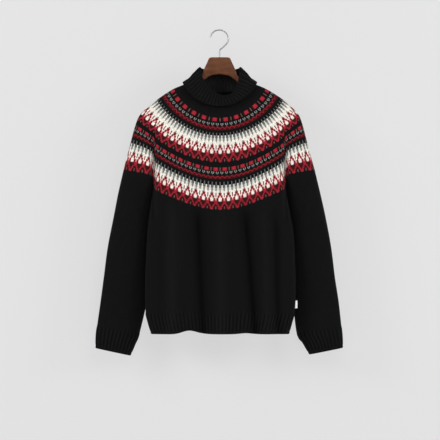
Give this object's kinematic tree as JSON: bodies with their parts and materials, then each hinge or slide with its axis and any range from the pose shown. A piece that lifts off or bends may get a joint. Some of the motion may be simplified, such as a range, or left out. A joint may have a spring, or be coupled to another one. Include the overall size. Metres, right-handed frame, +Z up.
{
  "type": "fair isle jumper on a wooden hanger",
  "caption": "Roll-neck knitted jumper with a round patterned yoke, ribbed hem, cuffs and folded collar, hanging on a wooden clothes hanger with a wire hook.",
  "frame": {"origin": "inside top of the hook, where a rail carries the hanger", "axes": "+Z up along the hook's stem, -Y out of the jumper's front, +X to the right of someone who looks at the front"},
  "size_m": [0.68, 0.103, 0.8964],
  "materials": {
    "plain_knit": "plain knitted wool, black, matte with fine fuzz",
    "pattern_knit": "stranded colour knitting in black, crimson, maroon, off-white and grey wool",
    "label_tape": "plain white woven tape",
    "hanger_wood": "dark brown stained wood, satin varnish",
    "hook_wire": "bright plated steel wire"
  },
  "bodies": {
    "root": {"collar": "plain_knit", "yoke": "pattern_knit", "body_front": "plain_knit", "body_back": "plain_knit", "hem_front": "plain_knit", "hem_back": "plain_knit", "sleeve_left": "plain_knit", "cuff_left": "plain_knit", "sleeve_right": "plain_knit", "cuff_right": "plain_knit", "side_label": "label_tape", "hanger_wood": "hanger_wood", "hanger_hook": "hook_wire"}
  },
  "joints": []
}
